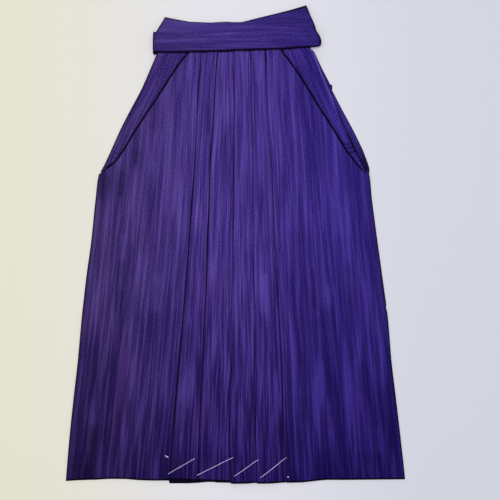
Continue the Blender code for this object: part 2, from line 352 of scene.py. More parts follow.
def flat(x0, ply0, x1, ply1, parts, dark0=0.0, dark1=0.0):
    """A flat stretch without its last point: x runs evenly from x0 to x1, and the ply's number and
    the painted shade ease from the first value to the second."""
    share = np.linspace(0, 1, parts + 1)[:-1, None]
    rise = ease(share)
    return stretch(
        x0 + (x1 - x0) * share, ply0 + (ply1 - ply0) * rise, dark0 + (dark1 - dark0) * rise
    )


def turn(edge, facing, ply0, ply1, dark=1.0):
    """A fold: half a circle between two plies, whose outer face reaches x = edge."""
    share = np.linspace(0, 1, TURN_STEPS + 1)[:, None]
    angle = math.pi * (share - 0.5)
    x = edge - facing * (PLY / 2 * (1 - np.cos(angle)) + FACE / 2)
    return stretch(x, (ply0 + ply1) / 2 + (ply1 - ply0) / 2 * np.sin(angle), dark * ease(2 * share))


def rim(edge, facing, ply, down, dark=RIM_SHADE, last=0.0):
    """A folded or seamed edge: a quarter of a circle that bends a little down (or up), and then
    a narrow flat stretch in which its shade fades to the last one, RIM in from the edge."""
    angle = math.pi / 2 * np.linspace(0, 1, 5)[:-1, None]
    x = edge - facing * (FACE / 2 + CURL * (1 - np.cos(angle)))
    bent = stretch(x, ply - down * CURL / PLY * (1 - np.sin(angle)), dark)
    start, full, end = (edge - facing * far for far in (FACE / 2 + CURL, RIM_FULL, RIM))
    level = flat(start, ply, full, ply, 1, dark, dark)
    return np.concatenate([bent, level, flat(full, ply, end, ply, 3, dark, last)], axis=1)


def rows_between(top, low, extra=()):
    """Heights of a panel's rows: even, closer at both ends, and at the extra heights."""
    even = np.linspace(top, low, max(3, round((top - low) / ROW)))
    ends = [top - EDGE_ROW, low + EDGE_ROW]
    return np.unique(np.concatenate([even, ends, extra]))[::-1]


def with_hem(x, y, hem):
    """The height y, moved in the lowest stretch so that the last row follows the hem's line."""
    share = between(y, HEM_TURN_Y, 0.0, HEM_Y, 1.0)
    return y + share * (np.interp(x, hem["x"], hem["y"]) - HEM_Y)


def swells(x, y, lines):
    """Low rises along lines: height times exp(-(d / half)^2), where d is the distance to the
    nearest point of the line. A row with a dip has (d / half)^2 e as a factor too, which leaves
    a crease between two rises. Patches of shade are lines of this kind too."""
    total = np.zeros(np.broadcast(x, y).shape)
    for k in range(len(lines["x0"])):
        x0, y0, x1, y1 = (lines[name][k] for name in ("x0", "y0", "x1", "y1"))
        along = ((x - x0) * (x1 - x0) + (y - y0) * (y1 - y0)) / ((x1 - x0) ** 2 + (y1 - y0) ** 2)
        along = np.clip(along, 0, 1)
        far = (x - x0 - along * (x1 - x0)) ** 2 + (y - y0 - along * (y1 - y0)) ** 2
        far = far / lines["half"][k] ** 2
        crease = far * math.e if "dip" in lines and lines["dip"][k] > 0 else 1
        total += lines["high"][k] * crease * np.exp(-far)
    return total


def slack(x, y):
    """The height that the back's swells lift every layer, which fades out below the waist."""
    return swells(x, y, BACK_SLACK) * ease((SLACK_FADE[0] - y) / (SLACK_FADE[0] - SLACK_FADE[1]))


def new_mesh(name, points, faces, material):
    """A smooth mesh of one material."""
    mesh = bpy.data.meshes.new(name)
    mesh.from_pydata(points.reshape(-1, 3).tolist(), [], faces)
    mesh.materials.append(material)
    mesh.shade_smooth()
    return mesh


def shell(name, points, weave, material, painted_light_and_tone=None, even=True):
    """A thin wall of cloth round a grid of middle points, rows from the waist down and columns from
    left to right. weave is each point's place on the cut cloth, across and along, and the layer
    given last is painted shade where above 0 and a painted highlight where below 0, which the
    material reads."""
    rows, wide = points.shape[:2]
    corner = (np.arange(rows - 1)[:, None] * wide + np.arange(wide - 1)).ravel()
    faces = np.stack([corner, corner + wide, corner + wide + 1, corner + 1], axis=1)
    mesh = new_mesh(name, points, faces.tolist(), material)
    layer = mesh.uv_layers.new(name="weave")
    layer.data.foreach_set("uv", weave.reshape(-1, 2)[faces.ravel()].ravel())
    if painted_light_and_tone is not None:
        mesh.attributes.new("painted_light_and_tone", "FLOAT", "POINT").data.foreach_set("value", painted_light_and_tone.ravel())
    made = add_object(name, mesh)
    wall = made.modifiers.new("wall", "SOLIDIFY")
    wall.thickness = FACE
    wall.offset = 0
    wall.use_even_offset = even
    return made


def dress(piece, nodes):
    """The piece rides on the garment's one body and stands for its solids, which are hidden."""
    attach(piece, "root")
    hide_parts(*nodes.split())


def weave_noise(start, u, v, scale=5.0, detail=1.0):
    """Noise over the plane of the cloth."""
    values = {"Vector": start.node("CombineXYZ", values={0: u, 1: v})}
    values.update({"Scale": scale, "Detail": detail})
    return start.node("TexNoise", {"noise_dimensions": "2D"}, values)


def streaks(start, u, v, kind, seed, wider, longer):
    """Soft tapering streaks of a kind, made wider and longer by two factors: noise stretched
    along the warp, with a smooth step as threshold."""
    wide, long, own, low, high = kind
    u, v = u * (1 / (wide * wider)) + (own + seed), v * (1 / (long * longer))
    return weave_noise(start, u, v, 1.0).ease(low, high)


def kasuri(name, seed, contrast=1.0, size=1.0, magenta=0.36, level=0.34):
    """Violet cloth with lighter streaks along the warp: broad and wide soft ones, narrow ones and
    hairlines, with magenta in places and a fine slub. Their sum less its mean, times a contrast
    that grows to the hem, is added to the level. The colour darkens to the hem, painted shade where
    the light's sheen fades, and it takes painted tints of the light, greyer on the left and bluer
    on the right. The mesh's layer of painted light darkens folds, creases, edges and what lies
    under the band with painted shade, and below 0 it raises the level and turns the colour violet:
    a painted highlight on lit edges, and the paling of the front's paler patches."""
    made, start, shader = new_material(
        name, CLOTH_ROUGHNESS, Specular_IOR_Level=0.06, Sheen_Weight=0.03,
        Sheen_Roughness=0.5, Sheen_Tint=(0.55, 0.5, 0.9, 1),
    )
    u = start.node("SeparateXYZ", values={0: start.node("UVMap", {"uv_map": "weave"})})
    v = u.part(1)
    u = u + seed * 0.37
    ragged = v + (weave_noise(start, u * YARN[0], v * YARN[1]) - 0.5) * RAGGED
    place = start.node("SeparateXYZ", values={0: start.node("TexCoord", out=3)})
    middle = 1 - start.math("ABSOLUTE", place).ease(*MIDDLE)
    broad = streaks(start, u, v, BROAD, seed, size, size)
    wide = streaks(start, u, ragged, WIDE, seed, size, size)
    narrow = streaks(start, u, ragged, NARROW, seed, size, size)
    hair = streaks(start, u, ragged, HAIR, seed, 1.0, size)
    pale = PALE_LEAST + broad * (BROAD_ADDS - middle * BROAD_LESS)
    pale = pale + wide * (WIDE_ADDS + broad * WIDE_ON_BROAD) * (1 - middle * WIDE_LESS)
    pale = pale + narrow * NARROW_ADDS + hair * (HAIR_ADDS + middle * HAIR_MORE)
    low = start.math("MAXIMUM", (DEEPER_FROM - place.part(1)) * (1 / DEEPER_OVER), 0.0)
    growth = low * low * CONTRAST_LATE + low * CONTRAST_SOON + contrast
    pale = level + (pale - PALE_MEAN) * growth
    pale = pale + (weave_noise(start, u * SLUB[0], v * SLUB[1]) - 0.5) * SLUB_ADDS
    # The mesh's layer of painted light: above 0 painted shade that darkens the colour, below 0 a
    # painted highlight that raises the level and pales it.
    painted_light_and_tone = start.node("Attribute", {"attribute_name": "painted_light_and_tone"}, out=2)
    lift = start.math("MAXIMUM", painted_light_and_tone * -1.0, 0.0)
    pale = pale + lift * PALER
    red = streaks(start, u, v, RED, seed, size, size)
    colour = pale.mix(INDIGO, (red * magenta).mix(VIOLET, MAGENTA))
    # Painted tints of the light: greyer on the left and bluer on the right; then painted shade
    # darkens the colour towards the hem.
    tone = (1 - place.ease(*GREYER_TO)).mix(WHITE, GREYER)
    tone = place.ease(*BLUER_FROM).mix(tone, BLUER)
    colour = colour.dye(tone).dye(low.mix(WHITE, DEEPER))
    colour = (lift * lift * LIGHTER_SHARE).mix(colour, VIOLET)
    colour = colour.dye((painted_light_and_tone * DEEP_SHADE).mix(WHITE, DEEP_TONE))
    start.tree.links.new(colour.socket, shader.inputs["Base Color"])
    weft = start.math("SINE", v * (2 * math.pi / WEFT))
    height = weft * 0.25 + weave_noise(start, u * GRAIN[0], v * GRAIN[1], detail=2.0)
    bump = start.node("Bump", values={"Strength": 0.25, "Distance": 0.15 * MM, "Height": height})
    start.tree.links.new(bump.socket, shader.inputs["Normal"])
    start.tree.links.new((0.92 - pale * 0.14).socket, shader.inputs["Roughness"])
    return made


def back_leg(name, node, facing, outer_name, material, shown_shade):
    """A cross-section carried down the leg: from the side edge flat to the centre, folded back
    under itself for the half box pleat, and out again above it. Where the back shows it is painted
    with shade: shown_shade is how strong along the side opening, and its foot is darker still."""
    y = rows_between(WAIST_Y, HEM_Y, BACK_ROWS)
    depth = between(y, WAIST_Y, BACK_PLEAT_WAIST, HEM_Y, BACK_PLEAT_HEM)
    outer = straight(BACK, outer_name, y)
    centre = facing * GAP / 2 + 0 * y
    far = centre + facing * (depth - 1.5 * WALL)
    step = outer * BACK_STEP
    section = np.concatenate([
        rim(outer, facing, 0, -1),
        flat(outer - facing * RIM, 0, step + facing * MM, 0, 26),
        flat(step + facing * MM, 0, step - facing * MM, 0, 1),
        flat(step - facing * MM, 0, centre + facing * 2 * WALL, 0, 18),
        turn(centre, -facing, 0, 1),
        flat(centre + facing * 1.5 * WALL, 1, far, 1, 4),
        turn(centre + facing * depth, facing, 1, 2),
        flat(far, 2, centre + facing * WALL / 2, 2, 4),
        stretch(centre + facing * WALL / 2, 2, 1)[:, None],
    ], axis=1)[:, ::-facing]
    x, ply = section[0].T, section[1].T
    across = np.concatenate([[0], np.cumsum(np.abs(np.diff(x[len(y) // 2])))])
    y = y[:, None]
    height = ply * PLY + WALL / 2 + slack(x, y)
    points = np.stack([x, with_hem(x, y, BACK_HEM), height], axis=2)
    weave = np.stack([across + 0 * x, y + 0 * x], axis=2)
    under = ease((HEM_SHADE_TOP - (y - HEM_Y)) / (2 * MM))
    under = under * (np.abs(x - HEM_SHADE_AT) < HEM_SHADE_HALF)
    tab = ease((y - TAB_FROM) / (4 * MM)) * (facing * x > TAB_OUT)
    inside = facing * (outer[:, None] - x)
    shown = ease((inside - SHOWN[0]) / (6 * MM)) * ease((SHOWN[1] - inside) / (4 * MM))
    shown = shown * ease((SHOWN_FROM - y) / SHOWN_FADE)
    foot = FOOT_DARK * ease((FOOT_FROM - y) / FOOT_FADE)
    painted_light_and_tone = np.maximum(section[2].T, np.maximum(HEM_SHADE * under, TAB_SHADE * tab))
    painted_light_and_tone = np.maximum(painted_light_and_tone, shown_shade * np.maximum(shown, foot) * (y > OPENING_END_Y))
    piece = shell(name, points, weave, material, painted_light_and_tone)
    dress(piece, node)


back_cloth = kasuri("back_kasuri", 4.0)
back_leg("back_left_cloth", "back_left_leg", LEFT, "outer_l", back_cloth, 0.0)
back_leg("back_right_cloth", "back_right_leg", RIGHT, "outer_r", back_cloth, 0.5)


# ---- Inner leg panels ----
# Two narrow tapered panels of the same cloth between the front and the back, from the crotch
# to the hem. They lie in the fold between the legs, sewn to the front and back of each leg.

CROTCH_Y = 150 * MM
INNER_HEM_Y = -490 * MM
INNER_TOP = 14 * MM
INNER_HEM = 50 * MM
INNER_BED = 3 * PLY


def inner_leg(name, node, facing, material):
    """A tapered strip: x runs evenly from the middle to a half width that grows to the hem."""
    y = rows_between(CROTCH_Y, INNER_HEM_Y)
    wide = between(y, CROTCH_Y, INNER_TOP, INNER_HEM_Y, INNER_HEM)
    start = facing * GAP / 2
    share = np.linspace(0, 1, 9)[:: facing]
    x = start + (facing * wide[:, None] - start) * share
    down = y[:, None] + 0 * x
    points = np.stack([x, down, INNER_BED + WALL / 2 + slack(x, down)], axis=2)
    piece = shell(name, points, np.stack([share * INNER_HEM + 0 * x, down], axis=2), material)
    dress(piece, node)


inner_leg("inner_left_cloth", "inner_leg_left", LEFT, back_cloth)
inner_leg("inner_right_cloth", "inner_leg_right", RIGHT, back_cloth)


# ---- Side pleats ----
# Beside each side opening a leaf-shaped strip of the cloth lies under the front's slanting
# edge: its outer edge is a pressed fold, and its inner edge turns back under the front.

FRONT_TOP_Y = 432 * MM
FRONT = table("""
y    edge_l p1     p2    p3    p4   p5    edge_r
432  -95    -71.5  -38   -3.6  31   63    94
404  -97    -72.5  -39   -3.8  31.5 63.6  96.5
392  -106.5 -73.2  -39.8 -3.8  31.7 63.8  105.5
367  -125.5 -75    -41.6 -3.8  32.2 64.4  124.3
325  -152.8 -79.4  -44   -2.9  33.2 65.5  152
283  -180.5 -81.5  -46.6 -2    33.8 67.4  177.6
241  -208.7 -83    -49   -2.6  35.4 70.1  204.2
199  -234   -85.3  -52   -3    36.6 73.6  230.4
174  -251.5 -87    -53.7 -3    36.8 75.6  249
152  -279   -88.2  -54.8 -3    37   76.6  268.8
146  -287   -88.5  -55   -3    37   76.8  280
93   -294.6 -92.7  -56.5 -3.9  37.3 79.1  286.3
9    -303.2 -98    -59.4 -5.1  37.7 82.6  297.4
-75  -314.6 -105   -62   -7    39.2 88    309
-159 -323.8 -111.8 -66.6 -7.4  40.6 92.2  320
-243 -331.5 -119.4 -70.4 -7.2  42.4 97.2  327
-327 -341   -126.4 -74.2 -12   42.6 99.2  337
-412 -349.8 -133.1 -77.7 -12.7 42.4 101.8 347
-454 -353.4 -137.3 -79.4 -11.2 43.8 103.8 351.5
-496 -356.8 -139.8 -81.5 -9.6  44.8 106.3 355.7
""")
SIDE = table("""
y outer_l outer_r tuck
432 -154 150 3.5
411 -160.7 154.5 3.9
404 -163 163 4
392 -168 169.3 7.5
367 -179.3 179.3 12
325 -198.2 197 16
283 -220.6 214.4 16
241 -242 233 14
199 -261 252.4 10
174 -272.4 265 7
152 -283.8 275 4.5
""")
BED = table("""
y side middle reach
432 6.5 6.5 26
404 6.5 6.5 26
392 5.6 5.6 26
367 3.2 5.2 26
325 1.3 5.2 28
-496 1.3 5.2 62
""")
BED_SLOPE = 50 * MM
BAND = table("""
x low high
-173.5 402.4 444.8
-150 402.6 443
-106 402.2 439.5
-54 403.4 440.6
-6 405.2 444.8
20 406.1 446.9
98 408.9 454.3
135 412.3 457.5
163 412.8 459.5
179.4 415 459.5
""")
BAND_ROWS = np.arange(398, 419, 1.4) * MM
# Widths of the painted shade beside the pleats' folds, under the front's slanting edges and under
# the band.
DEEP_IN = 0.5 * MM
DEEP_FULL = 1.3 * MM
DEEP_END = 3.4 * MM
SLANT_FULL = 2.7 * MM
SLANT_END = 4.9 * MM
UNDER_FULL = 2.0 * MM
UNDER_END = 3.6 * MM
FULL_SHARE, FULL_MORE = 0.35, 0.2
END_SHARE, END_MORE = 0.6, 0.07
# Painted highlight on a side strip's outer fold above, and painted shade at the opening's end
# below.
LIT_EDGE_AT = 1.8 * MM
LIT_EDGE_SPAN = 0.15
LIT_EDGE_LOW = 262 * MM
LIT_EDGE_HIGH = 430 * MM
LIT_EDGE_FADE = 45 * MM
END_SHADE_FROM = 238 * MM
END_SHADE_FADE = 12 * MM
WEDGE_FROM = 176 * MM
WEDGE_FADE = 14 * MM
END_SHADE_AT_EDGE, END_SHADE_BESIDE, END_SHADE_RIM = 0.9, 0.25, 0.06
LIT_EDGE_BESIDE = 0.6

# Short creases pressed across the strips where the openings end: lines as in the slack. Each dips
# the cloth and is darkened with painted shade.
SIDE_CREASES = table("""
x0 y0 x1 y1 half high
221 212 237 209 2.2 -0.95
228 201 244 203 2 -0.85
236 191 249 195 2 -0.9
248 207 257 201 2.4 -0.8
196 262 210 260 2 -0.35
-262 195 -247 191 1.7 -0.6
-268 187 -254 181 1.7 -0.5
-256 203 -245 201 1.6 -0.4
""")
CREASE_SHADE = 0.8
CREASE_ROWS = np.concatenate([np.arange(180, 215, 1.1), np.arange(257, 266, 1.1)]) * MM


def curved(columns, name, y):
    """A column at the heights y on a smooth line: between two rows a cubic, whose slope at each
    row is the harmonic mean of the slopes beside it, or 0 where the line turns back."""
    rows, value = -columns["y"], columns[name]
    chord = np.diff(value) / np.diff(rows)
    product = chord[:-1] * chord[1:]
    inner = np.where(product > 0, 2 * product / np.where(product > 0, chord[:-1] + chord[1:], 1), 0)
    slope = np.concatenate([chord[:1], inner, chord[-1:]])
    k = np.clip(np.searchsorted(rows, -y) - 1, 0, len(rows) - 2)
    step = rows[k + 1] - rows[k]
    t = np.clip((-y - rows[k]) / step, 0, 1)
    near = value[k] * (1 + 2 * t) * (1 - t) ** 2 + value[k + 1] * t * t * (3 - 2 * t)
    return near + step * (slope[k] * t * (1 - t) ** 2 - slope[k + 1] * t * t * (1 - t))


def under_band(x, y, painted_light_and_tone):
    """The painted shade, raised to 1 where the waist band's lower edge is close above: a painted
    shadow under the band.
    """
    below = np.interp(x, BAND["x"], BAND["low"]) - y
    shade = 1 - ease((below - UNDER_FULL) / (UNDER_END - UNDER_FULL))
    return painted_light_and_tone + shade * (1 - painted_light_and_tone)


def side_pleat(name, node, facing, edge_name, outer_name, material, lit_edge, end_shade, wedge):
    """A cross-section carried down the opening: flat from the outer edge, folded under the front's
    edge, and back up to it. The streaks run along the outer edge. The last three numbers are how
    strong a painted highlight lies on that edge above, how strong the painted shade on it is below,
    and wedge, how wide the painted shade under the front grows at the end."""
    y = rows_between(FRONT_TOP_Y, OPENING_END_Y, [*BAND_ROWS, *CREASE_ROWS])
    outer = curved(SIDE, outer_name, y)
    fold = curved(FRONT, edge_name, y)
    inner = fold - facing * curved(SIDE, "tuck", y)
    last = fold - facing * WALL / 2
    start = outer - facing * RIM
    span = np.abs(start - fold)
    near = facing * np.minimum(LIT_EDGE_AT, LIT_EDGE_SPAN * span)
    lit, plain = start - near, start - near - near
    wedge = wedge * ease((WEDGE_FROM - y) / WEDGE_FADE)
    most = (END_SHARE + END_MORE * wedge) * span
    clear = fold + facing * np.minimum(SLANT_END + wedge * SLANT_END, most)
    most = (FULL_SHARE + FULL_MORE * wedge) * span
    full = fold + facing * np.minimum(SLANT_FULL + wedge * SLANT_END, most)
    # Painted highlight on the outer edge above, and painted shade on it at the opening's end.
    lit_edge = lit_edge * ease((y - LIT_EDGE_LOW) / LIT_EDGE_FADE) * ease((LIT_EDGE_HIGH - y) / LIT_EDGE_FADE)
    end_shade = end_shade * ease((END_SHADE_FROM - y) / END_SHADE_FADE)
    at_edge, beside = END_SHADE_AT_EDGE * end_shade - lit_edge, END_SHADE_BESIDE * end_shade - LIT_EDGE_BESIDE * lit_edge
    section = np.concatenate([
        rim(outer, facing, 0, 1, RIM_SHADE * (1 - lit_edge) + END_SHADE_RIM * end_shade, at_edge),
        flat(start, 0, lit, 0, 3, at_edge, beside),
        flat(lit, 0, plain, 0, 3, beside, 0),
        flat(plain, 0, clear, 0, 9),
        flat(clear, 0, full, 0, 4, 0, 1),
        flat(full, 0, inner + facing * 1.5 * WALL, 0, 4, 1, 1),
        turn(inner, -facing, 0, 1),
        flat(inner + facing * 1.5 * WALL, 1, last, 1, 3, 1, 1),
        stretch(last, 1, 1)[:, None],
    ], axis=1)[:, ::-facing]
    x, ply = section[0].T, section[1].T
    down = y[:, None] + 0 * x
    creases = swells(x, down, SIDE_CREASES)
    painted_light_and_tone = under_band(x, down, section[2].T + CREASE_SHADE * np.maximum(0, -creases / MM))
    painted_light_and_tone = np.minimum(painted_light_and_tone, 1)
    height = straight(BED, "side", y)[:, None] + ply * PLY + WALL / 2
    height = height + slack(x, down) + creases
    weave = np.stack([x - outer[:, None], down], axis=2)
    piece = shell(name, np.stack([x, down, height], axis=2), weave, material, painted_light_and_tone)
    dress(piece, node)


side_cloth = kasuri("side_kasuri", 9.0, 0.9, 0.7, level=0.23)
side_pleat(
    "side_left_cloth", "side_pleat_left", LEFT, "edge_l", "outer_l", side_cloth, 0.0, 0.0, 1.0,
)
side_pleat(
    "side_right_cloth", "side_pleat_right", RIGHT, "edge_r", "outer_r", side_cloth, 1.0, 1.0, 0.0,
)


# ---- Front legs ----
# Each front leg is one wide piece of the cloth with its knife pleats pressed in: two on the
# left that face the centre, and three on the right that face left, sewn down only at the waist.

FRONT_HEM = table("""
x y
-356.8 -497
-330 -495.2
-296 -494.2
-262.7 -492.5
-230 -492.8
-205 -495
-180 -495.2
-140.5 -495
-139 -493.6
-82 -494.8
-45 -496
-12.5 -498
-10 -500.6
18 -500.6
43 -499.6
46 -500.4
70 -500.2
96 -500
117 -499.6
141 -499
165 -496.8
191 -494.5
224 -494.7
291 -494
355.7 -493.4
""")
PLEAT_WAIST = 15 * MM
PLEAT_HEM = 27 * MM
SETTLE = 45 * MM
TURN_CLEAR = 1.5 * MM
OPENING_FADE = 45 * MM
OPENING_ROWS = (0.152, 0.149, 0.146)
SPACING_Y = -50 * MM
SEAM_TOP = 258 * MM
SEAM_SLOPE = 0.107
LIT_TO = 5.0 * MM
LIT_AT = 2.8 * MM
FOLD_LIT = 0.12
HEM_FOLD_Y = -443 * MM
HEM_FOLD = 0.35 * MM
HEM_FOLD_RISE = 5 * MM
HEM_DARK = 4.4 * MM
HEM_LINE = 2.2 * MM
FOLD_LINE = 0.12
HEM_DEEPER = 0.05
NOTCH = 1.3 * MM
NOTCH_Y = -134 * MM
NOTCH_HIGH = 5 * MM
NOTCH_ROWS = NOTCH_Y + np.array([-6, -3, 0, 3, 6]) * MM

# How dark the painted shade in each pleat's fold is, as a share: its line is faint where the pleat
# has opened.
FOLD_SHADE = table("""
y    p1   p2   p3   p4   p5
432  0.55 0.95 0.65 0.85 0.95
396  0.45 0.95 0.55 0.85 0.95
354  0.9  0.8  0.8  0.3  0.5
312  1    0.85 0.65 0.6  0.65
228  0.5  0.55 0.3  0.5  0.55
186  0.95 1    0.45 0.35 0.6
144  0.9  0.8  0.75 0.35 0.65
60   1    1    0.55 0.4  0.55
-24  1    0.9  0.55 0.08 0.5
-109 0.8  0.8  0.45 0.1  0.8
-193 0.95 0.85 0.45 0.6  0.5
-277 1    0.85 0.7  0.35 0.65
-361 0.9  1    0.65 0.8  0.7
-403 0.9  0.95 1    0.6  0.7
-445 0.95 1    0.9  0.7  0.35
-496 0.65 0.9  0.6  0.75 0.35
""")

# Slack in the front, as in the back; a row with a dip is a crease between two low rises.
FRONT_SLACK = table("""
x0 y0 x1 y1 half high dip
-232 130 -300 -420 17 0.7 0
-196 210 -236 -180 14 0.5 0
-150 290 -176 90 12 0.5 0
-182 -40 -214 -430 19 0.8 0
-128 150 -140 -120 11 0.4 0
-268 70 -296 -110 12 0.6 0
-214 196 -190 158 9 0.5 1
-246 158 -231 142 7 0.5 1
-270 176 -262 190 5 0.4 1
118 230 150 -60 13 0.5 0
166 260 200 40 12 0.5 0
214 150 250 -170 15 0.6 0
150 -100 176 -430 18 0.8 0
262 -40 312 -400 20 0.8 0
224 -230 240 -440 14 0.5 0
164 -58 180 -130 7 0.4 1
168 -165 232 -172 8 0.3 1
180 -206 226 -198 7 0.3 1
284 -120 318 -134 7 0.4 1
290 -142 320 -150 6 0.3 1
-24 250 -30 -60 9 0.3 0
14 120 12 -330 9 0.3 0
56 200 66 -200 9 0.3 0
-60 60 -84 -400 9 0.3 0
-100 -120 -118 -420 9 0.3 0
""")


# Darker (above 0) and paler (below 0) patches on the front, as lines with a half width and a shade.
FRONT_TONE = table("""
x0 y0 x1 y1 half high
-297 -392 -307 -487 13 0.39
-280 143 -284 99 8 0.45
-238 151 -242 107 8 0.39
-208 191 -210 170 10 0.39
-287 83 -300 -37 9 0.18
-238 -103 -240 -133 8 0.18
-293 -219 -301 -289 8 0.22
-145 55 -147 2 8 0.21
297 20 310 -106 13 0.3
235 -52 240 -121 8 0.21
164 -60 168 -130 8 0.36
174 -160 174 -164 13 0.24
133 33 134 3 8 0.18
31 -348 31 -401 11 0.24
146 -327 147 -359 11 0.21
-16 -60 -16 -124 8 0.18
-53 291 -53 238 11 0.18
-81 -247 -81 -304 8 0.18
103 -380 105 -481 11 0.21
281 -451 284 -487 9 0.24
197 -353 198 -375 8 0.18
-261 -369 -264 -401 11 0.15
-264 84 -267 46 8 -0.2
-234 15 -238 -27 8 -0.38
-165 -71 -168 -132 12 -0.38
-172 232 -176 160 8 -0.25
-241 176 -241 175 22 -0.15
59 -69 59 -134 10 -0.45
194 -97 195 -116 15 -0.33
-102 378 -102 358 8 -0.22
49 388 49 346 8 -0.35
-80 77 -80 33 8 -0.2
4 132 4 93 8 -0.2
117 265 119 224 8 -0.2
112 6 113 -53 8 -0.2
223 80 227 21 8 -0.2
297 -394 301 -437 9 -0.22
-320 -246 -322 -271 8 -0.18
-218 -250 -223 -322 11 -0.18
73 385 73 343 8 -0.2
-48 -46 -48 -138 8 -0.18
26 24 26 -8 8 -0.2
78 -274 78 -314 8 -0.18
-102 -345 -103 -393 18 0.11
-22 332 -24 192 14 0.12
61 -30 61 -100 16 -0.12
-116 -335 -117 -390 8 0.28
235 -38 238 -62 8 0.25
-300 -385 -302 -415 9 0.22
-200 20 -201 -14 8 0.22
-262 135 -263 120 8 0.22
71 -350 71 -392 21 0.08
""")
# Painted shade that darkens the front towards its side edges.
SIDE_EDGE_SHADE = 0.10
SIDE_EDGE_REACH = 34 * MM


def bed(x, y):
    """The height of the front's lowest ply: level in the middle, sloping down to the sides."""
    side, middle, reach = (straight(BED, name, y) for name in ("side", "middle", "reach"))
    return side + ease((reach + BED_SLOPE - np.abs(x)) / BED_SLOPE) * (middle - side)


def front_height(x, y, ply):
    """The middle of a ply: the bed and the plies below it, lifted by the slack of the back and
    of the front, with a low step where the hem's allowance is folded in behind."""
    fade = ease((SLACK_FADE[0] - y) / (SLACK_FADE[0] - SLACK_FADE[1]))
    lifted = slack(x, y) + swells(x, y, FRONT_SLACK) * fade
    lifted = lifted + HEM_FOLD * ease((HEM_FOLD_Y - y) / HEM_FOLD_RISE)
    return bed(x, y) + ply * PLY + WALL / 2 + lifted


def outer_panel(y, edge, pleat_end, facing):
    """From a side edge to the nearest pleat: over the side pleat, then down and up again."""
    lift = 2 * ease((y - (OPENING_END_Y - OPENING_FADE)) / OPENING_FADE)
    inside = edge - facing * (curved(SIDE, "tuck", y) + TURN_CLEAR)
    up = pleat_end + facing * TURN_CLEAR
    span = np.abs(inside - up)
    slope = np.minimum(SETTLE, 0.4 * span)
    low = 1 - slope / SETTLE
    down_at = inside - facing * slope
    up_from = up + facing * slope
    return np.concatenate([
        rim(edge, facing, lift, 1),
        flat(edge - facing * RIM, lift, inside, lift, 3),
        flat(inside, lift, down_at, low * lift, 7),
        flat(down_at, low * lift, up_from, low * 2, 16),
        flat(up_from, low * 2, up, 2, 7),
        flat(up, 2, up - facing * TURN_CLEAR, 2, 1),
    ], axis=1)


def knife_pleat(fold, last, depth, facing, dark):
    """A pleat from its upper ply: round the fold, back under itself, and round again on the
    lowest ply. last is where the upper ply begins."""
    end = fold - facing * depth
    near = fold - facing * 1.5 * WALL
    far = end + facing * 1.5 * WALL
    return np.concatenate([
        # A painted highlight just before the fold, then painted shade round the fold and under it.
        flat(last, 2, fold - facing * LIT_TO, 2, 4),
        flat(fold - facing * LIT_TO, 2, fold - facing * LIT_AT, 2, 2, 0, -FOLD_LIT),
        flat(fold - facing * LIT_AT, 2, near, 2, 2, -FOLD_LIT, 0),
        turn(fold, facing, 2, 1, dark),
        flat(near, 1, far, 1, 3, dark, dark),
        turn(end, -facing, 1, 0, dark),
        flat(far, 0, fold - facing * DEEP_IN, 0, 4, dark, dark),
    ], axis=1)


def strip(from_fold, end, rise, facing, dark):
    """The strip beside a fold, rising evenly to its far end. Next to the fold it is painted with
    shade at first.
    """
    start = from_fold - facing * DEEP_IN
    close = np.linspace(0, DEEP_IN + DEEP_END, 8)[:, None] * facing
    share = np.linspace(0, 1, 11)[1:-1, None]
    x = np.concatenate([start + close, start + close[-1] + (end - start - close[-1]) * share])
    away = np.abs(x - from_fold)
    shade = dark * (1 - ease((away - DEEP_FULL) / (DEEP_END - DEEP_FULL)))
    return stretch(x, rise * ease((x - start) / (end - start)), shade)


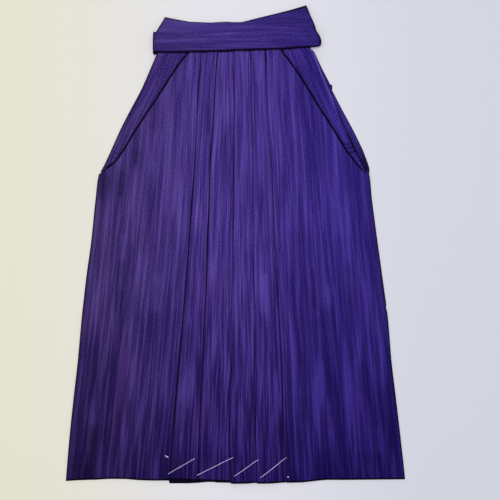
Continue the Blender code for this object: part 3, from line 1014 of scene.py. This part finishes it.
def front_leg(name, node, section, y, edge, panel_end, facing, material):
    """The cross-section is carried from the waist to the hem. On the outer panel the streaks fan
    with the side seam, and over the pleats they run along the folds. A tone t turns the painted
    shade d in the folds into d + t (1 - |d|)."""
    section = section if facing == LEFT else section[:, ::-1]
    x, ply = section[0].T, section[1].T
    rows, middle = y[:, None] + 0 * x, np.searchsorted(-y, -SPACING_Y)
    across = np.concatenate([[0], np.cumsum(np.abs(np.diff(section[0, :, middle])))])
    seam = facing * (SEAM_TOP - SEAM_SLOPE * (y - FRONT_TOP_Y))[:, None]
    fan = (x - panel_end[:, None]) / (seam - panel_end[:, None])
    outer = facing * (x - panel_end[:, None]) > 0
    nearest = np.argmin(np.abs(x[middle] - panel_end[middle]) + (ply[middle] < 1.5))
    width = abs(seam[middle, 0] - panel_end[middle])
    u = np.where(outer, across[nearest] + facing * fan * width, across + 0 * x)
    height = front_height(x, rows, ply)
    points = np.stack([x, with_hem(x, rows, FRONT_HEM), height], axis=2)
    # Painted shade towards the side edge joins the darker and paler patches.
    side_edge_shade = SIDE_EDGE_SHADE * np.exp(-(((edge[:, None] - x) / SIDE_EDGE_REACH) ** 2))
    tone = swells(x, rows, FRONT_TONE) / MM + side_edge_shade
    painted_light_and_tone = under_band(x, rows, section[2].T)
    painted_light_and_tone = painted_light_and_tone + tone * (1 - np.minimum(1, np.abs(painted_light_and_tone)))
    # Painted shade in the hem's last rows and a painted dark line along the ridge of the hem
    # allowance; below that ridge the cloth is a little darker.
    hem = ease((HEM_DARK - (rows - HEM_Y)) / (2 * EDGE_ROW))
    line = FOLD_LINE * np.exp(-(((rows - HEM_FOLD_Y) / HEM_LINE) ** 2))
    allowance = line + HEM_DEEPER * ease((HEM_FOLD_Y - rows) / HEM_LINE)
    painted_light_and_tone = painted_light_and_tone + allowance * (1 - np.minimum(1, np.abs(painted_light_and_tone)))
    painted_light_and_tone = painted_light_and_tone + hem * (1 - painted_light_and_tone)
    piece = shell(name, points, np.stack([u, rows], axis=2), material, painted_light_and_tone)
    dress(piece, node)
    return piece


hem_rows = HEM_Y + np.array([1.6, 2.6, 3.4, 4.4]) * MM
fold_rows = HEM_FOLD_Y + np.array([-2.4, -1.2, 0.0, 1.2, 2.4]) * MM
front_y = [*BAND_ROWS, *OPENING_ROWS, *hem_rows, *fold_rows, *NOTCH_ROWS]
front_y = rows_between(FRONT_TOP_Y, HEM_Y, front_y)
pleat = between(front_y, WAIST_Y, PLEAT_WAIST, HEM_Y, PLEAT_HEM)
lie = pleat + TURN_CLEAR
edge_l, p1, p2, p3, p4, p5, edge_r = (curved(FRONT, name, front_y) for name in list(FRONT)[1:])
d1, d2, d3, d4, d5 = (curved(FOLD_SHADE, name, front_y) / MM for name in list(FOLD_SHADE)[1:])
edge_r = edge_r - NOTCH * np.exp(-(((front_y - NOTCH_Y) / NOTCH_HIGH) ** 2))
left_section = np.concatenate([
    outer_panel(front_y, edge_l, p1 - pleat, LEFT),
    knife_pleat(p1, p1 - pleat, pleat, RIGHT, d1),
    strip(p1, p2 - lie, 2, RIGHT, d1),
    knife_pleat(p2, p2 - lie, pleat, RIGHT, d2),
    strip(p2, p3 - DEEP_END, 0, RIGHT, d2),
    flat(p3 - DEEP_END, 0, p3 - DEEP_FULL, 0, 4, 0, d3),
    flat(p3 - DEEP_FULL, 0, p3 + pleat, 0, 6, d3, d3),
    stretch(p3 + pleat, 0, d3)[:, None],
], axis=1)
right_section = np.concatenate([
    outer_panel(front_y, edge_r, p5 + pleat, RIGHT),
    knife_pleat(p5, p5 + pleat, pleat, LEFT, d5),
    strip(p5, p4 + lie, 2, LEFT, d5),
    knife_pleat(p4, p4 + lie, pleat, LEFT, d4),
    strip(p4, p3 + lie, 2, LEFT, d4),
    flat(p3 + lie, 2, p3 + 1.5 * WALL, 2, 5),
    turn(p3, LEFT, 2, 1, d3),
    flat(p3 + 1.5 * WALL, 1, p3 + pleat, 1, 4, d3, d3),
    stretch(p3 + pleat, 1, d3)[:, None],
], axis=1)
front_cloth = kasuri("front_kasuri", 0.0, 0.95)
front_left = front_leg(
    "front_left_cloth", "front_left_leg", left_section, front_y, edge_l, p1, LEFT,
    front_cloth,
)
front_right = front_leg(
    "front_right_cloth", "front_right_leg", right_section, front_y, edge_r, p5, RIGHT,
    front_cloth,
)


# ---- Folded ties ----
# The four ties are folded up flat behind the waist as one bundle of the same cloth. Its plies
# show as rounded edges all round the rim, and a long edge as a groove on both faces.

TIES = table("""
x y
-150 406
150 406
152 440
140 482
60 464
12 455
-146 456
-152 440
""")
TIES_PLIES = 4
TIES_HEIGHT = 3.6 * MM
TIES_GROOVE = 1.0 * MM
TIES_INSET = 0.1 * MM
TIES_AROUND = 160
TIES_CORNER = 5
TIES_LINE_Y = 438 * MM
TIES_LINE = 1.6 * MM
TIES_LINE_DEEP = 0.45 * MM


def tube_faces(rings, around, base=0):
    """The faces of a closed tube, whose points are rings from the index base on: quads between
    neighbouring rings, and a cap at both ends."""
    k = np.arange(around)
    ring = base + np.arange(rings)[:, None] * around
    here, beside = ring + k, ring + (k + 1) % around
    quads = np.stack([here[:-1], beside[:-1], beside[1:], here[1:]], axis=2).reshape(-1, 4)
    return [*quads.tolist(), here[0, ::-1].tolist(), here[-1].tolist()]


def folded_ties(material):
    """Rings of the outline with its corners rounded by a running mean. Up the rim each ply
    bulges as a half circle, and over both faces the rings shrink to the middle."""
    corners = np.stack([TIES["x"], TIES["y"]], axis=1)
    closed = np.vstack([corners, corners[:1]])
    run = np.concatenate([[0], np.cumsum(np.hypot(*np.diff(closed, axis=0).T))])
    place = np.linspace(0, run[-1], TIES_AROUND, endpoint=False)
    ring = np.stack([np.interp(place, run, closed[:, k]) for k in (0, 1)], axis=1)
    ring = sum(np.roll(ring, k, axis=0) for k in range(-TIES_CORNER, TIES_CORNER + 1))
    ring = ring / (2 * TIES_CORNER + 1)
    middle = ring.mean(axis=0)
    away = ring - middle
    reach = np.hypot(*away.T)[:, None]
    share = np.linspace(0, TIES_PLIES, TIES_PLIES * 8 + 1)
    drawn = TIES_GROOVE * (1 - np.sqrt(np.abs(np.sin(math.pi * share))))
    face = np.linspace(0.08, 0.99, 22)
    size = np.concatenate([face, [1.0] * len(share), face[::-1]])
    drawn = np.concatenate([0 * face, drawn, 0 * face])
    level = np.concatenate([0 * face, share / TIES_PLIES, 0 * face + 1])
    scale = size[:, None, None] - drawn[:, None, None] / reach
    flat_points = middle + away * scale
    from_line = flat_points[..., 1] - TIES_LINE_Y
    groove = TIES_LINE_DEEP * np.exp(-((from_line / TIES_LINE) ** 2))
    z = TIES_INSET + level[:, None] * (TIES_HEIGHT - 2 * TIES_INSET)
    z = z + groove * (1 - 2 * level[:, None]) * (size[:, None] < 1)
    points = np.concatenate([flat_points, z[..., None]], axis=2)
    mesh = new_mesh("folded_ties_cloth", points, tube_faces(*points.shape[:2]), material)
    index = np.zeros(len(mesh.loops), int)
    mesh.loops.foreach_get("vertex_index", index)
    layer = mesh.uv_layers.new(name="weave")
    layer.data.foreach_set("uv", points.reshape(-1, 3)[index][:, 1::-1].ravel())
    return add_object("folded_ties_cloth", mesh)


band_cloth = kasuri("band_kasuri", 15.0, 0.48, 0.9, 0.3, 0.24)
ties = folded_ties(band_cloth)
dress(ties, "folded_ties")


# ---- Back band ----
# The waist band of the back, stiff with its lining, shows above the front band, rounded over
# the ties. Its two halves are sewn edge to edge, under a shallow dip in the top edge.

BACK_TOP = table("""
x y
-148.2 476.8
-125.7 472.1
-96.3 466.9
-54.2 465.2
-18.4 467.2
-7.9 466.2
12.1 466.2
30 470.6
51 476
82.6 483.6
114.1 491.6
135.2 497.8
147.8 501.6
""")
BACK_ENDS_SHARE = np.array([0, 0.45, 0.55, 0.63, 0.73, 0.83, 0.93, 1.0])
BACK_ENDS = {
    LEFT: np.array([-150.0, -160.0, -167.0, -164.1, -159.5, -154.7, -150.6, -148.2]) * MM,
    RIGHT: np.array([152.0, 163.0, 169.5, 166.6, 161.8, 155.9, 151.6, 147.8]) * MM,
}
BACK_BAND_ALONG = np.array([0, 0.25, 0.5, 0.65, 0.85, 0.95, 0.985, 1.0])
BACK_BAND_BED = np.array([3.9, 3.9, 3.9, 5.1, 4.6, 4.0, 2.8, 1.2]) * MM
BACK_BAND_MEET = 12.1 * MM
BACK_BAND_TONE = (np.array([-0.16, -0.02, 0.10, 0.16]), np.array([-0.24, -0.1, 0.13, 0.22]))
BACK_BAND_LOW_Y = 392 * MM
BACK_BAND_LEVEL_Y = 440 * MM
BAND_SHADE = 0.95


def back_band(name, nodes, material):
    """Rows across the band go from the low edge, level at first and then rising with the top
    edge. Columns run evenly from where the halves meet to each end, which leans with the row."""
    along = np.concatenate([np.linspace(0, 0.9, 22)[:-1], np.linspace(0.9, 1.0, 10)])[::-1]
    half = np.concatenate([np.linspace(0, 0.98, 30), [0.985, 0.99, 0.995, 1.0]])
    ends = [np.interp(along, BACK_ENDS_SHARE, BACK_ENDS[k])[:, None] for k in (LEFT, RIGHT)]
    parts = [BACK_BAND_MEET + (end - BACK_BAND_MEET) * half for end in ends]
    x = np.hstack([parts[0][:, :0:-1], parts[1]])
    top = np.interp(x, BACK_TOP["x"], BACK_TOP["y"])
    level = np.minimum(1, 2 * along)[:, None]
    rise = np.maximum(0, 2 * along - 1)[:, None]
    y = BACK_BAND_LOW_Y + level * (BACK_BAND_LEVEL_Y - BACK_BAND_LOW_Y)
    y = y + rise * (top - BACK_BAND_LEVEL_Y)
    height = np.interp(along, BACK_BAND_ALONG, BACK_BAND_BED)[:, None] + WALL / 2 + 0 * x
    side = np.concatenate([half[:0:-1], half])
    # Painted shade along the top edge and both ends; elsewhere a tone, paler on the left and darker
    # on the right.
    edge = np.maximum(ease((along[:, None] - 0.95) / 0.02), ease((side - 0.978) / 0.01))
    painted_light_and_tone = np.where(BAND_SHADE * edge > 0.1, BAND_SHADE * edge, np.interp(x, *BACK_BAND_TONE))
    weave = np.stack([y, x], axis=2)
    piece = shell(name, np.stack([x, y, height], axis=2), weave, material, painted_light_and_tone)
    dress(piece, nodes)


back_band("back_band_cloth", "back_band_left back_band_right", band_cloth)


# ---- Front band ----
# One long strip over the pleats' tops, folded to its width and stitched down behind. Its ends
# turn back round the side pleats, and its streaks run along the waist.

BAND_ENDS_SHARE = np.array([0, 0.05, 0.12, 0.38, 0.56, 0.75, 1.0])
BAND_ENDS = {
    LEFT: np.array([-172.8, -173.0, -173.3, -173.5, -173.5, -173.5, -173.0]) * MM,
    RIGHT: np.array([174.5, 177.4, 179.2, 179.2, 174.6, 169.0, 164.5]) * MM,
}
BAND_BED = 10.4 * MM
BAND_END_BED = 7.8 * MM
BAND_LEVEL_TO = 106 * MM
BAND_DOWN_AT = 136 * MM
BAND_EDGE_DROP = 3.8 * MM
BAND_END_DROP = 1.2 * MM
BAND_ROUND = 1.6 * MM
BAND_RIGHT_DARK = 0.55
BAND_END_SHADE = 0.9
BAND_CORNER = 5.2 * MM
BAND_CORNER_TO = -150 * MM
BAND_CROWN = 0.5 * MM
BAND_LIP = 0.5 * MM
BAND_TOP_FROM = 0.72
BAND_SHADE_FROM, BAND_SHADE_FADE = 0.02, 0.06
RETURN_BED = 5.2 * MM
RETURN_TO = 100 * MM
RETURN_HIGH = 436 * MM

# Paler (below 0) and darker patches along the band, as lines with a half width.
BAND_TONE = table("""
x0 y0 x1 y1 half high
-108 437 -2 441 2.2 -0.3
-162 427 -68 429 2.2 -0.28
-66 429 -2 431 2.2 -0.22
-40 438 -14 438 5 -0.16
30 434 120 440 3 -0.12
-150 411 -60 411 6 0.1
150 438 172 430 9 0.28
40 424 110 430 5 0.1
""")


def front_band():
    """The strip's long section (inwards behind, round the end, across the front, round the
    other end) is carried across its width. The face is level over the pleats, lower at the
    ends, a little crowned, and rounded down at both long edges."""
    across = np.array([0, 0.01, 0.022, 0.045, 0.1, 0.2, 0.3, 0.45, 0.6, 0.7, 0.78, 0.86, 0.93])
    across = np.concatenate([across, [0.97, 0.987, 1.0]])[::-1][:, None]
    ends = {k: np.interp(across, BAND_ENDS_SHARE, BAND_ENDS[k]) for k in (LEFT, RIGHT)}
    radius = (BAND_END_BED - RETURN_BED) / 2
    angle = math.pi * (np.linspace(0, 1, 9) - 0.5)
    round_x = radius * (1 - np.cos(angle)) + FACE / 2
    inwards = np.linspace(0, 1, 12)[:-1]
    left = -RETURN_TO + (ends[LEFT] + FACE / 2 + radius + RETURN_TO) * inwards
    right = RETURN_TO + (ends[RIGHT] - FACE / 2 - radius - RETURN_TO) * inwards[::-1]
    start, stop = ends[LEFT] + round_x[-1], ends[RIGHT] - round_x[-1]
    even = np.linspace(0, 1, 68)[1:-1]
    face = start + (stop - start) * np.concatenate([[0.003, 0.007], even, [0.993, 0.997]])
    x = np.hstack([left, ends[LEFT] + round_x, face, ends[RIGHT] - round_x[::-1], right])
    turn_up = 0.5 + 0.5 * np.sin(angle)
    up = np.concatenate([0 * inwards, turn_up, np.ones(70), turn_up[::-1], 0 * inwards])
    low = np.interp(x, BAND["x"], BAND["low"])
    high = np.interp(x, BAND["x"], BAND["high"])
    high = RETURN_HIGH + up * (high - RETURN_HIGH)
    level = ease((BAND_DOWN_AT - np.abs(x)) / (BAND_DOWN_AT - BAND_LEVEL_TO))
    top = BAND_END_BED + level * (BAND_BED - BAND_END_BED)
    drop = BAND_END_DROP + level * (BAND_EDGE_DROP - BAND_END_DROP)
    top = top - drop * ease((across - BAND_TOP_FROM) / (1 - BAND_TOP_FROM))
    top = top + BAND_CROWN * ease(across / 0.2) * ease((1 - across) / 0.3)
    top = top - BAND_LIP * ((1 - ease(across / 0.022)) + (1 - ease((1 - across) / 0.02)))
    height = RETURN_BED + up * (top - RETURN_BED) + WALL / 2
    # The return's low corner hangs below the left end of the band, where it shows painted dark as
    # shade.
    low = low - BAND_CORNER * (1 - up) * ease((BAND_CORNER_TO - x) / (20 * MM))
    y = low + across * (high - low)
    run = np.concatenate([[0], np.cumsum(np.abs(np.diff(x[8])))])
    weave = np.stack([y, run + 0 * x], axis=2)
    # Painted shade: the return behind is dark all over, and so are the band's low edge and both
    # ends.
    low_edge = 1 - ease((across - BAND_SHADE_FROM) / BAND_SHADE_FADE)
    painted_light_and_tone = np.maximum(1 - up, BAND_SHADE * low_edge)
    close = np.minimum(x - ends[LEFT], (ends[RIGHT] - x) * BAND_RIGHT_DARK)
    painted_light_and_tone = np.maximum(painted_light_and_tone, BAND_END_SHADE * (1 - ease((close - BAND_ROUND) / BAND_ROUND)))
    painted_light_and_tone = painted_light_and_tone + swells(x, y, BAND_TONE) / MM * (1 - painted_light_and_tone)
    points = np.stack([x, y, height], axis=2)
    return shell("front_band_cloth", points, weave, band_cloth, painted_light_and_tone, even=False)


band = front_band()
dress(band, "front_band")


# ---- Basting stitches ----
# Loose white cotton stitches that still hold the pleats together above the hem: four long
# slanting ones on the front's face and the two ends of the thread.

BASTING = np.array([
    (-143.2, -482.5, -84.0, -447.3, 0.42),
    (-84.1, -485.4, -3.5, -444.5, 0.42),
    (-4.5, -486.2, 49.8, -448.4, 0.42),
    (49.9, -489.2, 108.0, -445.9, 0.44),
    (-147.8, -442.4, -140.9, -446.3, 0.85),
    (108.4, -486.4, 111.0, -487.8, 1.00),
]) * MM
BASTING_SIDES = 8
BASTING_STEPS = 24
BASTING_LIFT = 0.7
BASTING_DIP = 1.4 * MM
BASTING_DIP_RATE = 40
THREAD_WHITE = (0.86, 0.74, 1.0, 1)
THREAD_GRIMY = (0.74, 0.60, 0.96, 1)


def thread_material():
    """Soft cotton: pale lilac, a little grimy in places."""
    made, start, shader = new_material("basting_thread", 0.8, Sheen_Weight=0.2)
    place = start.node("TexCoord", out=3)
    noise = start.node("TexNoise", values={"Vector": place, "Scale": 900.0})
    shade = noise.ease(0.3, 0.7).mix(THREAD_GRIMY, THREAD_WHITE)
    start.tree.links.new(shade.socket, shader.inputs["Base Color"])
    return made


def stitches(name, ends, trees):
    """Tubes along straight stitches that lie on the cloth: the height is found by looking down
    on the front at each step, and the ends dip into it."""
    share = np.linspace(0, 1, BASTING_STEPS)
    dip = BASTING_DIP * (
        np.exp(-share * BASTING_DIP_RATE) + np.exp(-(1 - share) * BASTING_DIP_RATE)
    )
    points, faces = [], []
    for x0, y0, x1, y1, radius in ends:
        path = np.stack([x0 + (x1 - x0) * share, y0 + (y1 - y0) * share], axis=1)
        tops = [
            max((hit.z for hit in (tree.ray_cast((x, y, 0.1), (0, 0, -1))[0] for tree in trees)
                 if hit), default=0.0)
            for x, y in path
        ]
        tops = np.array(tops)
        smooth = np.convolve(np.pad(tops, 2, mode="edge"), np.ones(5) / 5, mode="valid")
        z = np.maximum(tops, smooth) + radius * BASTING_LIFT - dip
        along = np.array([x1 - x0, y1 - y0]) / math.hypot(x1 - x0, y1 - y0)
        side = np.array([-along[1], along[0]])
        angle = np.linspace(0, 2 * math.pi, BASTING_SIDES, endpoint=False)
        ring = np.zeros((BASTING_STEPS, BASTING_SIDES, 3))
        ring[..., :2] = path[:, None] + radius * np.cos(angle)[:, None] * side
        ring[..., 2] = z[:, None] + radius * np.sin(angle)
        base = len(points) * BASTING_STEPS * BASTING_SIDES
        faces += tube_faces(BASTING_STEPS, BASTING_SIDES, base)
        points.append(ring)
    return add_object(name, new_mesh(name, np.array(points), faces, thread_material()))


bpy.context.view_layer.update()
shapes = bpy.context.evaluated_depsgraph_get()
fronts = [BVHTree.FromObject(piece, shapes) for piece in (front_left, front_right)]
basting = stitches("basting_stitches", BASTING, fronts)
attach(basting, "root")
